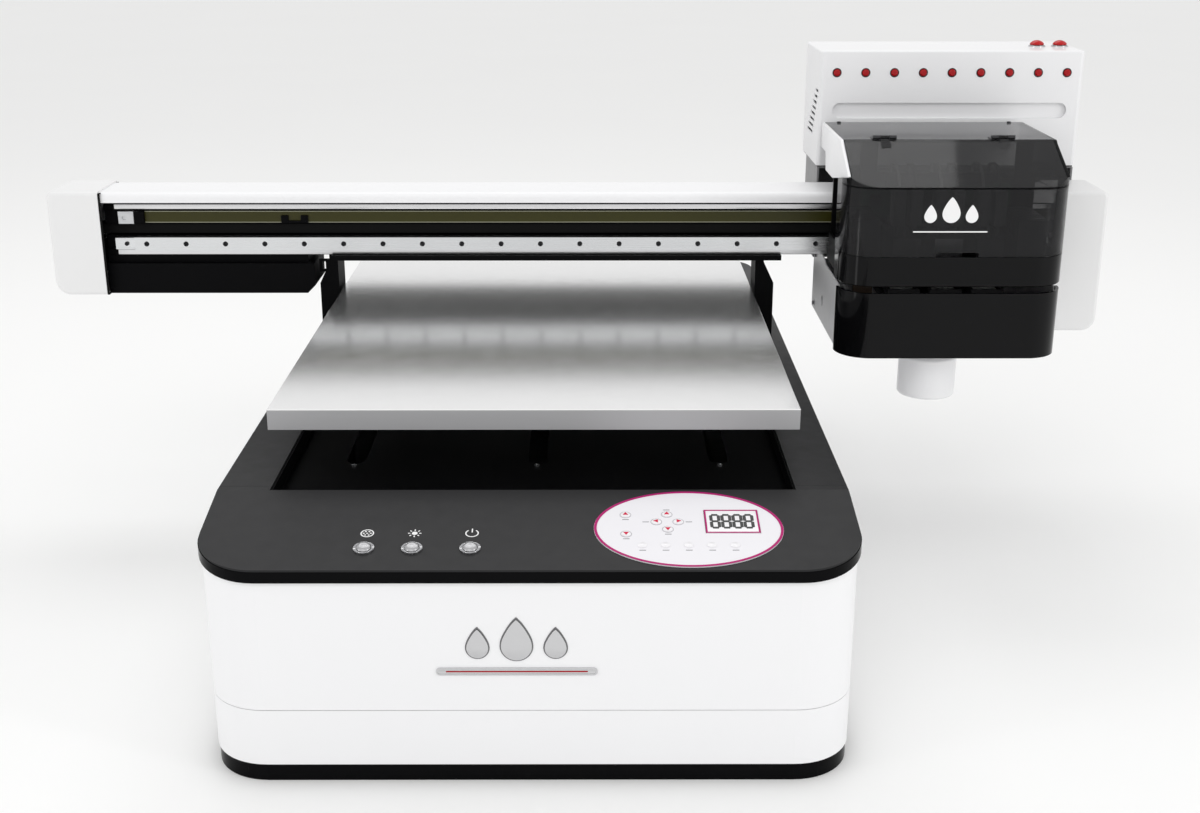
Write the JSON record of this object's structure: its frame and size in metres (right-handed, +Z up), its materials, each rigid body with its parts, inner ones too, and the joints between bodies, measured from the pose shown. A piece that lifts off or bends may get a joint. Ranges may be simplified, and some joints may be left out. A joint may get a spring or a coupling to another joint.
{
  "type": "flatbed uv printer",
  "caption": "Flatbed UV printer: rounded base with control panel, sliding and lifting table, gantry beam with travelling hooded print carriage, capping station and ink cabinet.",
  "frame": {"origin": "on the floor, under the middle of the base cabinet", "axes": "+X to the operator's right along the beam, +Y from the control panel to the back, +Z up"},
  "size_m": [1.599, 1.348, 0.735],
  "materials": {
    "gloss_black": "high gloss moulded black",
    "white_shell": "smooth white powder coat",
    "satin_grey": "satin charcoal paint",
    "matt_black": "fine matt black paint",
    "frame_paint": "grey frame paint",
    "bright_steel": "ground linear rail steel",
    "dark_steel": "machined steel",
    "bare_aluminium": "anodised extrusion",
    "table_edge": "grey anodised plate",
    "table_white": "satin white vacuum bed",
    "cap_white": "light grey-white moulded cap",
    "motor_black": "black motor case",
    "circuit_green": "circuit board and metal case",
    "pulley_alloy": "turned pulley",
    "belt_rubber": "toothed belt",
    "encoder_film": "olive encoder film",
    "clamp_metal": "bead blasted clamp",
    "head_metal": "print head case",
    "lamp_alloy": "finned lamp body",
    "smoked_acrylic": "smoked acrylic sheet",
    "smoked_top": "smoked acrylic sheet",
    "hinge_dark": "small blackened hinge",
    "station_grey": "grey sheet metal",
    "cap_rubber": "capping rubber",
    "wiper_rubber": "wiper blade and holder",
    "bottle_white": "translucent waste bottle",
    "ink_white": "ink tank",
    "cabinet_white": "smooth white powder coat",
    "support_grey": "grey sheet metal",
    "lamp_red": "red lens",
    "button_red": "red cap",
    "bezel_steel": "polished ring",
    "button_steel": "brushed metal cap",
    "keypad_film": "printed keypad film",
    "display_face": "display window",
    "inlet_black": "mains inlet"
  },
  "bodies": {
    "base": {"plinth": "gloss_black", "lower_shell": "white_shell", "upper_shell": "white_shell", "rear_panel": "white_shell", "power_inlet": "inlet_black", "top_rim": "gloss_black", "control_panel": "satin_grey", "deck": "satin_grey", "recess_tray": "matt_black", "base_frame": "frame_paint", "linear_rails": "bright_steel", "screw_bearings": "dark_steel", "stepper_motors": "motor_black", "electronics": "circuit_green", "vacuum_blower": "motor_black", "uprights": "matt_black", "beam": "bare_aluminium", "beam_cover": "white_shell", "left_end_cap": "cap_white", "right_end_cap": "cap_white", "left_housing": "matt_black", "encoder_strip": "encoder_film", "strip_clamps": "clamp_metal", "carriage_belt": "belt_rubber", "station_frame": "station_grey", "station_cover": "gloss_black", "waste_bottle": "bottle_white", "ink_cabinet": "cabinet_white", "cabinet_support": "support_grey", "ink_bottles": "ink_white", "indicator_lamps": "lamp_red", "button_bezels": "bezel_steel", "keypad": "keypad_film", "display": "display_face"},
    "table_saddle": {"saddle": "bare_aluminium", "y_blocks": "dark_steel", "lift_drive": "motor_black"},
    "table": {"lift_columns": "bright_steel", "lift_platform": "bare_aluminium", "table_box": "table_edge", "table_skin": "table_white"},
    "table_screw": {"y_screw": "bright_steel"},
    "carriage": {"carriage_plate": "matt_black", "rail_blocks": "dark_steel", "print_heads": "head_metal", "uv_lamps": "lamp_alloy", "carriage_shell": "gloss_black", "carriage_cheeks": "white_shell", "carriage_top": "smoked_top", "hood_hinges": "hinge_dark"},
    "hood": {"hood": "smoked_acrylic"},
    "belt_drive": {"drive_pulley": "pulley_alloy"},
    "belt_idler": {"idler_pulley": "pulley_alloy"},
    "capping": {"cap_unit": "cap_rubber"},
    "wiper": {"wiper": "wiper_rubber"},
    "suction_button": {"suction_button": "button_steel"},
    "lamp_button": {"lamp_button": "button_steel"},
    "power_button": {"power_button": "button_steel"},
    "cabinet_button_left": {"cabinet_button_left": "button_red"},
    "cabinet_button_right": {"cabinet_button_right": "button_red"}
  },
  "joints": [
    {"name": "table_slide", "type": "slide", "parent": "base", "child": "table_saddle", "axis": [0, 1, 0], "range_m": [-0.45, 0.45]},
    {"name": "table_lift", "type": "slide", "parent": "table_saddle", "child": "table", "axis": [0, 0, 1], "range_m": [-0.05, 0.045]},
    {"name": "table_screw_turn", "type": "hinge", "parent": "base", "child": "table_screw", "pos_m": [0.06, 0, 0.095], "axis": [0, 1, 0], "range_deg": [-16400, 16400]},
    {"name": "carriage_slide", "type": "slide", "parent": "base", "child": "carriage", "axis": [1, 0, 0], "range_m": [-1.08, 0]},
    {"name": "belt_drive_turn", "type": "hinge", "parent": "base", "child": "belt_drive", "pos_m": [-0.712, 0.138, 0.467], "axis": [0, 0, 1], "range_deg": [-4900, 10]},
    {"name": "belt_idler_turn", "type": "hinge", "parent": "base", "child": "belt_idler", "pos_m": [0.81, 0.138, 0.467], "axis": [0, 0, 1], "range_deg": [-4900, 10]},
    {"name": "hood_open", "type": "hinge", "parent": "carriage", "child": "hood", "pos_m": [0.582, 0.015, 0.6222], "axis": [-1, 0, 0], "range_deg": [0, 95]},
    {"name": "cap_lift", "type": "slide", "parent": "base", "child": "capping", "axis": [0, 0, 1], "range_m": [0, 0.0075]},
    {"name": "wiper_sweep", "type": "slide", "parent": "base", "child": "wiper", "axis": [0, 1, 0], "range_m": [0, 0.14]},
    {"name": "suction_button_press", "type": "slide", "parent": "base", "child": "suction_button", "axis": [0, 0.1781, -0.984], "range_m": [0, 0.0015], "stiffness_N_per_m": 900, "springref_m": -0.001},
    {"name": "lamp_button_press", "type": "slide", "parent": "base", "child": "lamp_button", "axis": [0, 0.1781, -0.984], "range_m": [0, 0.0015], "stiffness_N_per_m": 900, "springref_m": -0.001},
    {"name": "power_button_press", "type": "slide", "parent": "base", "child": "power_button", "axis": [0, 0.1781, -0.984], "range_m": [0, 0.0015], "stiffness_N_per_m": 900, "springref_m": -0.001},
    {"name": "cabinet_button_left_press", "type": "slide", "parent": "base", "child": "cabinet_button_left", "axis": [0, 0, -1], "range_m": [0, 0.002], "stiffness_N_per_m": 900, "springref_m": -0.001},
    {"name": "cabinet_button_right_press", "type": "slide", "parent": "base", "child": "cabinet_button_right", "axis": [0, 0, -1], "range_m": [0, 0.002], "stiffness_N_per_m": 900, "springref_m": -0.001}
  ],
  "couplings": [
    {"joint": "table_screw_turn", "follows": "table_slide", "rad_per_m": 628.32},
    {"joint": "belt_drive_turn", "follows": "carriage_slide", "rad_per_m": 78.125},
    {"joint": "belt_idler_turn", "follows": "carriage_slide", "rad_per_m": 78.125}
  ]
}
